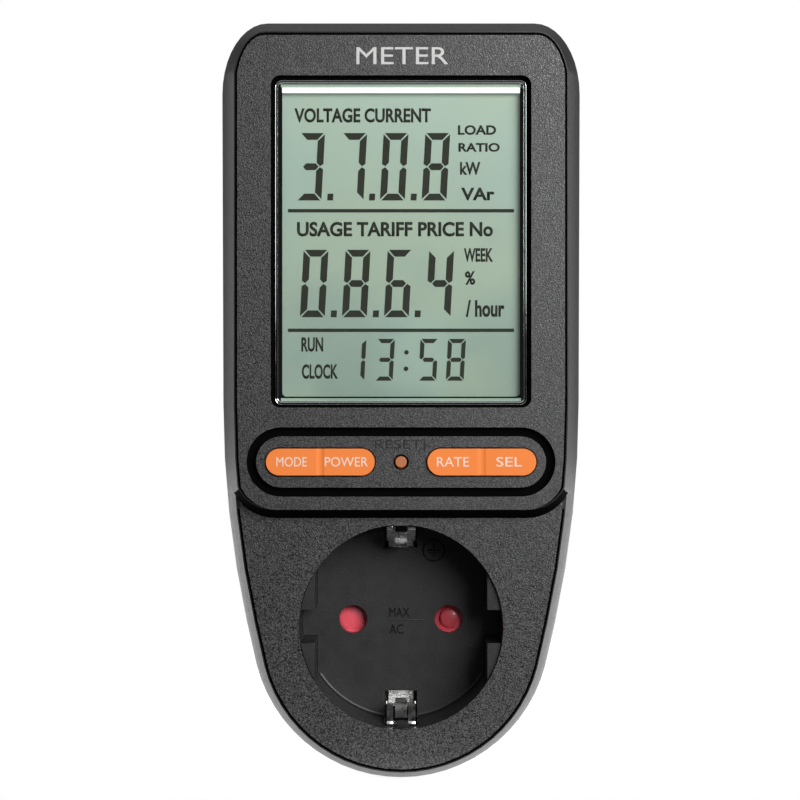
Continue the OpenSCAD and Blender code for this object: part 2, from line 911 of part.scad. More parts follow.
module neutral_contact() {
    color([0.8, 0.55, 0.25]) {
        sleeve(-pin_x);
        pin_eye(-pin_x);
        block([-pin_x - 1.5, -19, 5.6], [-pin_x + 1.5, eye_y, 6.4]);
        block([-pin_x - 1.5, -19, 2.8], [-pin_x + 1.5, -18.2, 6.4]);
    }
}

// ---------------------------------------------------------------- plug

cup_r = 14.6;
base_t = 3;
flange_t = 1.5;
plug_clear = 0.3;
root_r = pin_r + 0.2;      // radius of a pin's root, which fills its hole in the base

module plug_body() {
    flange_y = back_in_y - flange_t;
    color([0.1, 0.1, 0.105])
        difference() {
            union() {
                rod(0, 0, plug_r, flange_y, 0, fine);
                rod(0, 0, plug_r + 1.9, flange_y, back_in_y, fine);
            }
            rod(0, 0, cup_r, flange_y - pass, -base_t, fine);
            // Flats that pass the socket's side guides, above and below a middle ridge
            for (x = [-1, 1], z = [-1, 1])
                block([x < 0 ? -plug_r - pass : guide_x - plug_clear, back_y,
                       z < 0 ? -plug_r : guide_gap - plug_clear],
                      [x < 0 ? plug_clear - guide_x : plug_r + pass, pass,
                       z < 0 ? plug_clear - guide_gap : plug_r]);
            for (side = [-1, 1]) {
                rod(side * pin_x, 0, root_r, -base_t - pass, pass);
                block([-3, flange_y - pass, side < 0 ? -plug_r - 3 : strip_z - 0.2],
                      [3, -1.2, side < 0 ? -strip_z + 0.2 : plug_r + 3]);
            }
            rod(0, earth_hole_z, earth_hole_r, -base_t - pass, pass);
        }
}

module plug_pin(x) {
    tip = 1.2;
    color([0.83, 0.82, 0.78])
        translate([x, 0, 0])
            rotate([-90, 0, 0])
                rotate_extrude($fn = fine) {
                    square([pin_r, pin_len - tip]);
                    translate([0, -base_t])
                        square([root_r, base_t]);
                    translate([0, pin_len - tip])
                        square([pin_r - tip, tip]);
                    intersection() {
                        translate([pin_r - tip, pin_len - tip])
                            circle(r = tip, $fn = small);
                        square([pin_r, pin_len]);
                    }
                    translate([0, eye_y])
                        square([3.6, -base_t - eye_y]);
                    translate([0, tail_y])
                        square([1.4, eye_y - tail_y]);
                }
}

module plug_pin_live() { plug_pin(pin_x); }
module plug_pin_neutral() { plug_pin(-pin_x); }

// ---------------------------------------------------------------- power electronics

module power_board() {
    color([0.1, 0.4, 0.2])
        difference() {
            block([-27, power_board_y, 26], [27, power_board_y + board_t, 102]);
            for (p = power_posts)
                rod(p[0], p[1], board_screw_r + 0.2, power_board_y - pass,
                    power_board_y + board_t + pass);
        }
}

module power_board_screws() {
    color("silver")
        for (p = power_posts)
            mirror([0, 1, 0])
                screw(p[0], p[1], board_screw_r, 1.7, 1.2,
                      -power_board_y - board_t - 3.2, -power_board_y);
}

module metering_chip() {
    low_y = power_board_y - 2.3;
    color([0.1, 0.1, 0.1]) {
        block([2, low_y, 50], [9.5, power_board_y - 0.1, 65.4]);
        for (i = [0:11], x = [0.6, 9.5])
            block([x, power_board_y - 1, 50.5 + 1.27 * i], [x + 1.4, power_board_y, 50.9 + 1.27 * i]);
    }
}

module shunt() {
    color([0.72, 0.5, 0.38])
        difference() {
            block([pin_x - 4.5, power_board_y - 6, 35], [pin_x + 4.5, power_board_y, 39]);
            block([pin_x - 2.5, power_board_y - 5, 34], [pin_x + 2.5, power_board_y + pass, 40]);
            block([pin_x - 1, power_board_y - 7, 36.6], [pin_x + 1, power_board_y - 2, 37.4]);
        }
}

module x2_capacitor() {
    color([0.9, 0.75, 0.1])
        block([-23, power_board_y - 12.5, 78], [-5, power_board_y, 86.5]);
}

module electrolytic_capacitors() {
    color([0.12, 0.14, 0.3])
        for (c = [[13, 87, 5, 12], [20, 76, 4, 11]])
            rod(c[0], c[1], c[2], power_board_y - c[3], power_board_y, small);
}

module varistor() {
    color([0.15, 0.3, 0.7])
        translate([-2, power_board_y - 7, 72])
            rotate([0, 90, 0])
                cylinder(r = 5, h = 4, $fn = small);
    color([0.6, 0.6, 0.6])
        for (x = [-1.4, 1.1])
            rod(x, 72, 0.4, power_board_y - 2.3, power_board_y, 24);
}

// A part with wire leads at both ends, lying along Z above the power board
lead_r = 0.3;
leg_half = 0.2;

module axial_part(x, z, r, length, lift) {
    y = power_board_y - lift - r;
    translate([x, y, z - length / 2])
        cylinder(r = r, h = length, $fn = small);
    translate([x, y, z - length / 2 - 1])
        cylinder(r = lead_r, h = length + 2, $fn = 24);
    for (end = [-1, 1]) {
        leg_z = z + end * (length / 2 + 0.6);
        block([x - leg_half, y, leg_z - leg_half], [x + leg_half, power_board_y, leg_z + leg_half]);
    }
}

module fuse_resistor() {
    color([0.2, 0.55, 0.3])
        axial_part(-21, 50, 2, 10, 0.6);
}

module rectifier_diodes() {
    color([0.12, 0.12, 0.12])
        for (i = [0:3])
            axial_part(14 + 3.6 * i, 60, 1.3, 5, 0.3);
}

module dropper_resistors() {
    color([0.85, 0.78, 0.62])
        for (i = [0:4])
            axial_part(-12 + 3.4 * i, 42, 1.1, 6, 0.3);
}

module board_headers() {
    board_back = display_board_y + board_t;
    color([0.92, 0.9, 0.85]) {
        block([8, board_back, 93], [24, board_back + 3, 96.5]);
        block([8, power_board_y - 3, 99], [24, power_board_y, 101.8]);
    }
}

module ribbon_cable() {
    y0 = display_board_y + board_t + 3;
    y1 = power_board_y - 3;
    ribbon = [[y0, 94.7], [y0 + 2, 94.7], [y0 + 4, 96], [y1 - 3, 99.6], [y1 - 1.5, 100.4], [y1, 100.4]];
    color([0.7, 0.7, 0.7])
        strip(16, 12)
            bent_strip(ribbon, 0.7);
}

// A round wire whose centre line lies in a plane of constant x, given in Y and Z
wire_sides = 8;

function wire_ring(points, i, x, r) =
    let (n = square_to(points, i))
    [
        for (s = [0:wire_sides - 1])
            let (a = 360 * s / wire_sides)
            [x + r * cos(a), points[i][0] + r * sin(a) * n[0], points[i][1] + r * sin(a) * n[1]]
    ];

module wire(points, x, r) {
    rings = [for (i = [0:len(points) - 1]) each wire_ring(points, i, x, r)];
    skin = [
        for (i = [0:len(points) - 2], s = [0:wire_sides - 1])
            let (
                a = i * wire_sides + s,
                b = i * wire_sides + (s + 1) % wire_sides
            )
            each [[a, b + wire_sides, b], [a, a + wire_sides, b + wire_sides]]
    ];
    first = [for (s = [0:wire_sides - 1]) s];
    last = [for (s = [wire_sides - 1:-1:0]) (len(points) - 1) * wire_sides + s];
    polyhedron(points = rings, faces = concat([first], skin, [last]), convexity = 6);
}

neutral_wire_r = 0.7;
neutral_line = [
    [-14, 7.2], [-17, 7.2], [-19, 7.3], [-20.4, 7.7], [-21.3, 8.5], [-21.8, 9.6],
    [-21.9, 11], [-21.9, 16], [-21.9, 22], [-21.8, 23.6], [-21.5, 25], [-21.5, 30]
];

module neutral_wire() {
    color([0.15, 0.35, 0.8])
        wire(neutral_line, -pin_x, neutral_wire_r);
}

front_shell();
rear_shell();
display_window();
lcd_front_glass();
lcd_rear_glass();
lcd_reflector();
lcd_frame();
zebra_strip();
display_board();
display_board_screws();
controller_chip();
crystal();
backup_battery();
switch_bodies();
plunger_left_outer();
plunger_left_inner();
plunger_reset();
plunger_right_inner();
plunger_right_outer();
button_left();
button_right();
reset_button();
socket_well();
socket_base();
shutter();
shutter_spring();
contact_carrier();
carrier_screws();
earth_bow();
earth_hole_contact();
live_in_strap();
live_out_contact();
neutral_contact();
plug_body();
plug_pin_live();
plug_pin_neutral();
power_board();
power_board_screws();
metering_chip();
shunt();
x2_capacitor();
electrolytic_capacitors();
varistor();
fuse_resistor();
rectifier_diodes();
dropper_resistors();
board_headers();
ribbon_cable();
neutral_wire();
case_screws();
rating_label();
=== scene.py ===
"""Looks of the plug-in power meter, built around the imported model, in metres in its own frame."""
import json
import math

import bmesh
import bpy
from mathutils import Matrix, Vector


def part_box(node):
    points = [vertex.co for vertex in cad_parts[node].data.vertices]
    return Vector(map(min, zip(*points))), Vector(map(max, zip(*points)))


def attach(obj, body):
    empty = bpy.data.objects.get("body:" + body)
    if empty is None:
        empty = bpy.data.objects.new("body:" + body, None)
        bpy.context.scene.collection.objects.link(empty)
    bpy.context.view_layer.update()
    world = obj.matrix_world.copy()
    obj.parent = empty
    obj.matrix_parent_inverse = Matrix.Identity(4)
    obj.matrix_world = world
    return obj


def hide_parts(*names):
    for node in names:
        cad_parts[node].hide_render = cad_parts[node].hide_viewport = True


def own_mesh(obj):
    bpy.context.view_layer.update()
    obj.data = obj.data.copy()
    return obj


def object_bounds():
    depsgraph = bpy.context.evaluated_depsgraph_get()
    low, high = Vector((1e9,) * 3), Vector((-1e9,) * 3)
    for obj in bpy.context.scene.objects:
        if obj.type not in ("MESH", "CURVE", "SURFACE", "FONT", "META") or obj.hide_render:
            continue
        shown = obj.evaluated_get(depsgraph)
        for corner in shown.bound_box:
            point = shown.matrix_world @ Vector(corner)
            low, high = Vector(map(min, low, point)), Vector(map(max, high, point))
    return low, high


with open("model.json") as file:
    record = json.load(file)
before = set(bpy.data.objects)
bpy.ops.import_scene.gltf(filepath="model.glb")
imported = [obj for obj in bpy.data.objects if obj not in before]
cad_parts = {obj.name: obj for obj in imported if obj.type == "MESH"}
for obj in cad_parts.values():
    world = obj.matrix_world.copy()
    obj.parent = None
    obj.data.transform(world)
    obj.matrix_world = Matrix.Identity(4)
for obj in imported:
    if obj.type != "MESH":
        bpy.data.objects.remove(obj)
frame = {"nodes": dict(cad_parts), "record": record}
cad_low, cad_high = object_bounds()
nodes = frame["nodes"]
MM = 0.001


def limits(node, axis):
    """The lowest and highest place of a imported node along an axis, in millimetres."""
    return [round(corner[axis] / MM, 2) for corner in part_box(node)]


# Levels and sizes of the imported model, in millimetres
BLOCK_Y = limits("front_shell", 1)[0]           # front of the block that holds the display
FACE_Y = BLOCK_Y + 4                            # front face round the socket
PANE_FRONT, PANE_BACK = limits("display_window", 1)
PANE_W = limits("display_window", 0)[1]         # half the width of the window
PANE_Z0, PANE_Z1 = limits("display_window", 2)
LCD_Y = limits("lcd_front_glass", 1)[0]
FLOOR_Y = limits("socket_base", 1)[0]           # floor of the socket well
SHUTTER_Y = limits("shutter", 1)[0]
KEY_FRONT = limits("button_left", 1)[0]
KEY_Z = sum(limits("button_left", 2)) / 2
WELL_R = 19.65

# ---------------------------------------------------------------- camera and light

CAMERA = (-0.2, -520.5, 43.6)   # millimetres
FOCAL = 110.9
BELOW_LIGHT = 0.04
SIDE_LIGHT = 0.08
TOP_LIGHT = 0.4
KEY_POWER = 4.3                 # watts
EDGE_POWER = 0.7
FLOOR_BACK = 0.54               # metres that the floor's centre lies behind the object
FLOOR_R = 0.6


def add_camera():
    data = bpy.data.cameras.new("camera")
    data.lens = FOCAL
    data.sensor_width = 36
    data.clip_start = 0.01
    cam = bpy.data.objects.new("camera", data)
    cam.location = point(*CAMERA)
    cam.rotation_euler = (math.radians(90), 0, 0)
    bpy.context.scene.collection.objects.link(cam)
    bpy.context.scene.camera = cam


def add_light(name, place, target, size, power):
    data = bpy.data.lights.new(name, "AREA")
    data.shape = "RECTANGLE"
    data.size, data.size_y = size
    data.energy = power
    lamp = bpy.data.objects.new(name, data)
    lamp.location = place
    aim = Vector(target) - Vector(place)
    lamp.rotation_euler = aim.to_track_quat("-Z", "Y").to_euler()
    bpy.context.scene.collection.objects.link(lamp)


def add_lights():
    """A large key light in front on the right, and a weak light behind on each side."""
    add_light("key", (0.30, -0.57, 0.23), (0, 0, 0.05), (0.42, 0.30), KEY_POWER)
    for side in (-1, 1):
        add_light("edge", (side * 0.5, 0.25, 0.08), (0, 0, 0.06), (0.3, 0.3), EDGE_POWER)


def add_world():
    """White to the camera; to everything else dim at the sides and brighter overhead."""
    world = bpy.data.worlds.new("studio")
    bpy.context.scene.world = world
    world.use_nodes = True
    tree = world.node_tree
    tree.nodes.clear()
    out = tree.nodes.new("ShaderNodeOutputWorld")
    mix = tree.nodes.new("ShaderNodeMixShader")
    path = tree.nodes.new("ShaderNodeLightPath")
    towards = tree.nodes.new("ShaderNodeTexCoord")
    split = tree.nodes.new("ShaderNodeSeparateXYZ")
    height = tree.nodes.new("ShaderNodeMapRange")
    height.inputs["From Min"].default_value = -1
    ramp = tree.nodes.new("ShaderNodeValToRGB")
    ramp.color_ramp.interpolation = "EASE"
    stops = ((0.44, BELOW_LIGHT), (0.5, SIDE_LIGHT), (0.58, SIDE_LIGHT), (0.9, TOP_LIGHT))
    while len(ramp.color_ramp.elements) < len(stops):
        ramp.color_ramp.elements.new(0.5)
    for element, (place, level) in zip(ramp.color_ramp.elements, stops):
        element.position = place
        element.color = (level, level, level, 1)
    dim = tree.nodes.new("ShaderNodeBackground")
    white = tree.nodes.new("ShaderNodeBackground")
    white.inputs["Color"].default_value = (1, 1, 1, 1)
    tree.links.new(towards.outputs["Generated"], split.inputs[0])
    tree.links.new(split.outputs[2], height.inputs["Value"])
    tree.links.new(height.outputs[0], ramp.inputs[0])
    tree.links.new(ramp.outputs[0], dim.inputs["Color"])
    tree.links.new(path.outputs["Is Camera Ray"], mix.inputs[0])
    tree.links.new(dim.outputs[0], mix.inputs[1])
    tree.links.new(white.outputs[0], mix.inputs[2])
    tree.links.new(mix.outputs[0], out.inputs[0])


# ---------------------------------------------------------------- materials

NOISE_SPAN = (0.3, 0.7)         # where nearly all values of a noise lie
SAME_LEVEL = 0.06               # a face this near a level, in millimetres, is on it
PAINTED_FADE_LOW = 44                   # ends of the display's painted light fade, in millimetres
PAINTED_FADE_HIGH = 103

# The places on the housing that get painted shade, near black and matt, in millimetres
GROOVE_DEPTH = 0.5
MOAT_HALF_X = 29.6              # the moat round the keys: half its width and half its height
MOAT_HALF_Z = 6.8
RECESS_HALF_X = 25.0            # the window's recess: half its width, and its lower and upper end
RECESS_Z = (42.0, 105.6)
STEP_HALF_X = 33.2              # the step under the block, in the same way
STEP_Z = (20, 32)


class Shader:
    """A material under construction: a Principled shader and helpers that add nodes to it."""

    def __init__(self, name):
        self.material = bpy.data.materials.new(name)
        self.material.use_nodes = True
        self.tree = self.material.node_tree
        self.tree.nodes.clear()
        self.out = self.add("ShaderNodeOutputMaterial")
        self.bsdf = self.add("ShaderNodeBsdfPrincipled")
        self.link(self.bsdf.outputs[0], self.out.inputs[0])
        self.place = self.add("ShaderNodeTexCoord").outputs["Object"]

    def add(self, kind, **settings):
        node = self.tree.nodes.new(kind)
        for key, value in settings.items():
            setattr(node, key, value)
        return node

    def link(self, source, target):
        self.tree.links.new(source, target)

    def feed(self, name, source):
        """Links source to the Principled shader's socket of that name."""
        self.link(source, self.bsdf.inputs[name])

    def set(self, **values):
        for key, value in values.items():
            self.bsdf.inputs[key.replace("_", " ")].default_value = value

    def noise(self, scale, detail=2.0, roughness=0.5, stretch=None):
        node = self.add("ShaderNodeTexNoise")
        node.inputs["Scale"].default_value = scale
        node.inputs["Detail"].default_value = detail
        node.inputs["Roughness"].default_value = roughness
        source = self.place
        if stretch:
            mapping = self.add("ShaderNodeMapping")
            mapping.inputs["Scale"].default_value = stretch
            self.link(source, mapping.inputs["Vector"])
            source = mapping.outputs[0]
        self.link(source, node.inputs["Vector"])
        return node.outputs["Fac"]

    def math(self, operation, a, b=None):
        node = self.add("ShaderNodeMath", operation=operation)
        for socket, value in ((node.inputs[0], a), (node.inputs[1], b)):
            if isinstance(value, (int, float)):
                socket.default_value = value
            elif value is not None:
                self.link(value, socket)
        return node.outputs[0]

    def fit(self, value, low, high, to_low, to_high):
        """Maps value from the range low to high onto the range to_low to to_high."""
        node = self.add("ShaderNodeMapRange")
        node.inputs["From Min"].default_value = low
        node.inputs["From Max"].default_value = high
        node.inputs["To Min"].default_value = to_low
        node.inputs["To Max"].default_value = to_high
        self.link(value, node.inputs["Value"])
        return node.outputs[0]

    def wander(self, low, high, scale, detail=3):
        """A number that wanders between low and high over the surface."""
        return self.fit(self.noise(scale, detail), *NOISE_SPAN, low, high)

    def blend(self, factor, a, b):
        """The colour a where factor is 0, and b where it is 1."""
        node = self.add("ShaderNodeMix", data_type="RGBA")
        self.link(factor, node.inputs[0])
        for index, value in ((6, a), (7, b)):
            if isinstance(value, tuple):
                node.inputs[index].default_value = (*value, 1)
            else:
                self.link(value, node.inputs[index])
        return node.outputs[2]

    def bump(self, height, distance, normal=None):
        """Surface relief, with distance in millimetres."""
        node = self.add("ShaderNodeBump")
        node.inputs["Strength"].default_value = 1.0
        node.inputs["Distance"].default_value = distance * MM
        self.link(height, node.inputs["Height"])
        if normal is not None:
            self.link(normal, node.inputs["Normal"])
        return node.outputs[0]

    def mix_shaders(self, factor, a, b):
        """Ends the material in the shader a where factor is 0, and b where it is 1."""
        mix = self.add("ShaderNodeMixShader")
        self.link(factor, mix.inputs[0])
        self.link(a.outputs[0], mix.inputs[1])
        self.link(b.outputs[0], mix.inputs[2])
        self.link(mix.outputs[0], self.out.inputs[0])

    def axis(self, index, source=None):
        split = self.add("ShaderNodeSeparateXYZ")
        self.link(source or self.place, split.inputs[0])
        return split.outputs[index]

    def normal(self):
        return self.add("ShaderNodeNewGeometry").outputs["Normal"]

    # Masks are 1 where they hold and 0 elsewhere, and their levels are in millimetres

    def under(self, value, limit):
        return self.math("LESS_THAN", value, limit * MM)

    def within(self, value, low, high):
        return self.both(self.math("GREATER_THAN", value, low * MM), self.under(value, high))

    def near(self, value, level, reach):
        return self.under(self.math("ABSOLUTE", self.math("SUBTRACT", value, level * MM)), reach)

    def both(self, *masks):
        result = masks[0]
        for mask in masks[1:]:
            result = self.math("MULTIPLY", result, mask)
        return result

    def either(self, *masks):
        result = masks[0]
        for mask in masks[1:]:
            result = self.math("MAXIMUM", result, mask)
        return result


def scaled(colour, factor):
    return tuple(min(1, c * factor) for c in colour)


def plastic(name, colour, rough, grain, grain_scale=1500, vary=0.12, coat=0.0, shine=0.5):
    """Moulded plastic: mottled colour, uneven roughness, and a grain of that many millimetres."""
    s = Shader(name)
    mottled = s.blend(s.noise(90, 4), scaled(colour, 1 - vary), scaled(colour, 1 + vary))
    s.feed("Base Color", mottled)
    s.feed("Roughness", s.wander(rough * 0.88, rough * 1.12, 300))
    ripple = s.bump(s.noise(220), 0.02)
    s.feed("Normal", s.bump(s.noise(grain_scale, 3, 0.6), grain, ripple))
    s.set(Specular_IOR_Level=shine)
    if coat:
        s.set(Coat_Weight=coat, Coat_Roughness=0.12)
    return s.material


def housing_masks(s):
    """Masks of the two grained front faces, and of the places that get painted shade: the moat
    round the keys, the joint round the window, the step under the block and the floors of the
    grooves."""
    x, y, z = (s.axis(i) for i in range(3))
    normal = s.normal()
    across = s.math("ABSOLUTE", x)
    forward = s.math("LESS_THAN", s.axis(1, normal), -0.9)
    downward = s.math("LESS_THAN", s.axis(2, normal), -0.35)
    sunk = s.within(y, BLOCK_Y + 0.1, BLOCK_Y + 1.6)

    def level(depth):
        return s.either(*(s.near(y, front + depth, SAME_LEVEL) for front in (BLOCK_Y, FACE_Y)))

    grained = s.both(forward, level(0))
    moat = s.both(sunk, s.under(across, MOAT_HALF_X), s.near(z, KEY_Z, MOAT_HALF_Z))
    joint = s.both(sunk, s.under(across, RECESS_HALF_X), s.within(z, *RECESS_Z))
    behind_block = s.within(y, BLOCK_Y + 0.15, FACE_Y - 0.05)
    step = s.both(downward, behind_block, s.within(z, *STEP_Z), s.under(across, STEP_HALF_X))
    grooves = s.both(forward, level(GROOVE_DEPTH))
    return grained, s.either(moat, joint, step, grooves)


def housing_plastic(name, colour, sides_rough):
    """Black housing plastic: coarse grain on the two front faces, a semi-gloss rim and sides,
    and painted shade in the sunk places: near black colour, little reflection and a matt finish."""
    s = Shader(name)
    grained, painted_shade = housing_masks(s)
    plain = s.blend(s.noise(60, 4), scaled(colour, 0.85), scaled(colour, 1.15))
    speckled = s.add("ShaderNodeVectorMath", operation="SCALE")
    s.link(plain, speckled.inputs[0])
    s.link(s.fit(s.noise(4200, 1, 0.6), 0.42, 0.68, 0.1, 6.5), speckled.inputs["Scale"])
    lit = s.blend(grained, plain, speckled.outputs[0])
    # Painted shade: where shade falls in the moat, the window joint, the step under the block and
    # the groove floors, the colour is near black and the specular tint and level are nearly nil.
    s.feed("Base Color", s.blend(painted_shade, lit, (0.003, 0.003, 0.003)))
    s.feed("Specular Tint", s.blend(painted_shade, (1, 1, 1), (0.08, 0.08, 0.08)))
    shine = s.math("MULTIPLY", s.fit(grained, 0, 1, 0.45, 0.72), s.fit(painted_shade, 0, 1, 1.0, 0.05))
    s.feed("Specular IOR Level", shine)
    rough = s.add("ShaderNodeMix", data_type="FLOAT")
    s.link(grained, rough.inputs[0])
    s.link(s.wander(sides_rough * 0.9, sides_rough * 1.1, 900), rough.inputs[2])
    s.link(s.fit(s.noise(3000), 0.36, 0.64, 0.28, 0.56), rough.inputs[3])
    s.feed("Roughness", s.math("MAXIMUM", rough.outputs[0], s.math("MULTIPLY", painted_shade, 0.9)))
    soft = s.bump(s.noise(1500), 0.006)
    coarse = s.math("MULTIPLY", s.noise(4200, 1, 0.6), grained)
    s.feed("Normal", s.bump(coarse, 0.055, soft))
    return s.material


def metal(name, colour, rough, stretch=(1, 1, 1), scratch=0.02):
    """Metal with streaks, fine scratches and slightly dulled patches."""
    s = Shader(name)
    streak = s.noise(700, 3, 0.6, stretch)
    s.feed("Base Color", s.blend(s.noise(120, 4), scaled(colour, 0.82), colour))
    s.feed("Roughness", s.fit(streak, *NOISE_SPAN, rough * 0.7, rough * 1.4))
    s.feed("Normal", s.bump(streak, scratch))
    s.set(Metallic=1.0)
    return s.material


def board_laminate(name, colour):
    """Green solder mask over faint copper tracks."""
    s = Shader(name)
    tracks = s.add("ShaderNodeTexBrick")
    tracks.inputs["Scale"].default_value = 120
    tracks.inputs["Mortar Size"].default_value = 0.12
    turned = s.add("ShaderNodeMapping")
    turned.inputs["Rotation"].default_value = (math.radians(90), 0, 0)
    s.link(s.place, turned.inputs["Vector"])
    s.link(turned.outputs[0], tracks.inputs["Vector"])
    over_track = tuple(c * 2.2 + 0.01 for c in colour)
    s.feed("Base Color", s.blend(tracks.outputs["Fac"], colour, over_track))
    s.feed("Normal", s.bump(tracks.outputs["Fac"], 0.03))
    s.feed("Roughness", s.wander(0.25, 0.4, 200))
    return s.material


def display_green(name, bottom, top):
    """The LCD ground: a painted light fade, lighter towards the top, with faint yellow and blue
    clouds and a faint painted glow.
    """
    s = Shader(name)
    # Painted light: the display's colour runs from the darker lower colour to the lighter upper
    # one, as the light falls on it.
    painted_light_fade = s.fit(s.axis(2), PAINTED_FADE_LOW * MM, PAINTED_FADE_HIGH * MM, 0, 1)
    ground = s.blend(painted_light_fade, bottom, top)
    warm = s.fit(s.noise(55, 3), 0.42, 0.6, 0, 0.32)
    cool = s.fit(s.noise(38, 2, 0.5, (1.3, 1, 0.8)), 0.5, 0.66, 0, 0.28)
    shown = s.blend(cool, s.blend(warm, ground, (0.43, 0.50, 0.35)), (0.31, 0.47, 0.445))
    s.feed("Base Color", shown)
    # Painted glow: the display gives off its own colour a little, to lift the shade in its recess,
    # though it is no lamp.
    s.feed("Emission Color", shown)
    s.set(Emission_Strength=0.18)
    s.feed("Roughness", s.wander(0.45, 0.6, 400))
    s.feed("Normal", s.bump(s.noise(2500), 0.01))
    return s.material


def clear_acrylic(name):
    """Clear window: see-through, with a sheen that grows towards grazing angles and at its edge."""
    s = Shader(name)
    s.tree.nodes.remove(s.bsdf)
    see = s.add("ShaderNodeBsdfTransparent")
    see.inputs["Color"].default_value = (0.985, 0.995, 0.99, 1)
    gloss = s.add("ShaderNodeBsdfGlossy")
    gloss.inputs["Color"].default_value = (1, 1, 1, 1)
    s.link(s.wander(0.02, 0.06, 500), gloss.inputs["Roughness"])
    s.link(s.bump(s.noise(35), 0.02), gloss.inputs["Normal"])
    facing = s.add("ShaderNodeLayerWeight")
    facing.inputs["Blend"].default_value = 0.5
    grazing = s.math("POWER", facing.outputs["Facing"], 5)
    flat = s.math("ABSOLUTE", s.axis(1, s.normal()))
    edge = s.fit(flat, 0.98, 0.6, 0.0, 0.55)
    sheen = s.fit(grazing, 0, 1, 0.04, 0.9)
    s.mix_shaders(s.math("MINIMUM", s.math("ADD", sheen, edge), 1.0), see, gloss)
    return s.material


def cut_edge(name):
    """The polished cut edge of the window, with a painted highlight that makes it brighter along
    its upper and lower ends.
    """
    s = Shader(name)
    cloud = s.noise(60, 3)
    dim = s.blend(cloud, (0.26, 0.3, 0.28), (0.45, 0.48, 0.47))
    # Painted highlight: the cut edge is much lighter at its upper and lower ends, where it catches
    # the light.
    painted_highlight = s.blend(cloud, (0.8, 0.83, 0.82), (0.97, 0.98, 0.98))
    middle = (PANE_Z0 + PANE_Z1) / 2
    from_middle = s.math("ABSOLUTE", s.math("SUBTRACT", s.axis(2), middle * MM))
    end = PANE_Z1 - middle
    painted_highlight_mask = s.fit(from_middle, (end - 1.6) * MM, (end - 1.0) * MM, 0, 1)
    s.feed("Base Color", s.blend(painted_highlight_mask, dim, painted_highlight))
    s.set(Metallic=1.0)
    s.feed("Roughness", s.wander(0.05, 0.14, 150))
    s.feed("Normal", s.bump(s.noise(90), 0.02))
    return s.material


def display_ink(name):
    """The dark segments of the LCD."""
    s = Shader(name)
    s.feed("Base Color", s.blend(s.noise(200, 3), (0.018, 0.022, 0.014), (0.030, 0.034, 0.022)))
    s.feed("Roughness", s.wander(0.5, 0.7, 600, 2))
    s.set(Specular_IOR_Level=0.2)
    return s.material


def print_paint(name, colour, shine=0.5, painted_glow=0.0):
    """Printed paint, a little worn."""
    s = Shader(name)
    s.feed("Base Color", s.blend(s.noise(1200, 3), scaled(colour, 0.85), colour))
    s.feed("Roughness", s.wander(0.4, 0.6, 900, 2))
    # A glow above 0 is painted glow, as on the painted highlight behind the pane.
    s.set(Specular_IOR_Level=shine, Emission_Color=(1, 1, 1, 1), Emission_Strength=painted_glow)
    return s.material


def pale_floor(name):
    """White studio floor; far from the object the camera sees the white surroundings instead."""
    s = Shader(name)
    s.set(Base_Color=(0.93, 0.93, 0.93, 1), Roughness=0.85, Specular_IOR_Level=0.1)
    s.set(Emission_Color=(1, 1, 1, 1), Emission_Strength=0.9)
    away = s.add("ShaderNodeVectorMath", operation="DISTANCE")
    s.link(s.place, away.inputs[0])
    away.inputs[1].default_value = (0, -FLOOR_BACK, 0)
    gone = s.fit(away.outputs["Value"], 0.07, 0.3, 0, 1)
    seen = s.add("ShaderNodeLightPath").outputs["Is Camera Ray"]
    clear = s.add("ShaderNodeBsdfTransparent")
    s.mix_shaders(s.math("MULTIPLY", gone, seen), s.bsdf, clear)
    return s.material


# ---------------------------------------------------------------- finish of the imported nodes

SHARP = math.radians(35)        # an edge that turns more than this stays an edge
ONE_PLANE = math.radians(0.4)   # faces that turn less than this are one face


def new_group(name):
    """An empty geometry node group, with its input and its output."""
    group = bpy.data.node_groups.new(name, "GeometryNodeTree")
    for way in ("INPUT", "OUTPUT"):
        group.interface.new_socket("Geometry", in_out=way, socket_type="NodeSocketGeometry")
    return group, group.nodes.new("NodeGroupInput"), group.nodes.new("NodeGroupOutput")


def join_corners():
    """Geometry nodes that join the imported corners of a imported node."""
    group, start, end = new_group("join_corners")
    drop = group.nodes.new("GeometryNodeRemoveAttribute")
    drop.inputs["Name"].default_value = "custom_normal"
    merge = group.nodes.new("GeometryNodeMergeByDistance")
    merge.inputs["Distance"].default_value = 0.002 * MM
    group.links.new(start.outputs[0], drop.inputs["Geometry"])
    group.links.new(drop.outputs[0], merge.inputs["Geometry"])
    group.links.new(merge.outputs[0], end.inputs[0])
    return group


def smooth_by_angle():
    """Geometry nodes that smooth all but the sharp edges."""
    group, start, end = new_group("smooth_by_angle")
    angle = group.nodes.new("GeometryNodeInputMeshEdgeAngle")
    under = group.nodes.new("FunctionNodeCompare")
    under.data_type = "FLOAT"
    under.operation = "LESS_EQUAL"
    under.inputs[1].default_value = SHARP
    edges = group.nodes.new("GeometryNodeSetShadeSmooth")
    edges.domain = "EDGE"
    faces = group.nodes.new("GeometryNodeSetShadeSmooth")
    faces.domain = "FACE"
    group.links.new(start.outputs[0], edges.inputs["Geometry"])
    group.links.new(angle.outputs["Unsigned Angle"], under.inputs[0])
    group.links.new(under.outputs[0], edges.inputs["Shade Smooth"])
    group.links.new(edges.outputs[0], faces.inputs["Geometry"])
    group.links.new(faces.outputs[0], end.inputs[0])
    return group


JOIN = join_corners()
SMOOTH = smooth_by_angle()


def smooth(obj):
    """Smooths an object between its sharp edges, and keeps its flat faces flat."""
    last = obj.modifiers.new("smooth", "NODES")
    last.node_group = SMOOTH
    flat = obj.modifiers.new("keep_flats_flat", "WEIGHTED_NORMAL")
    flat.mode = "FACE_AREA"
    flat.weight = 100
    flat.keep_sharp = True


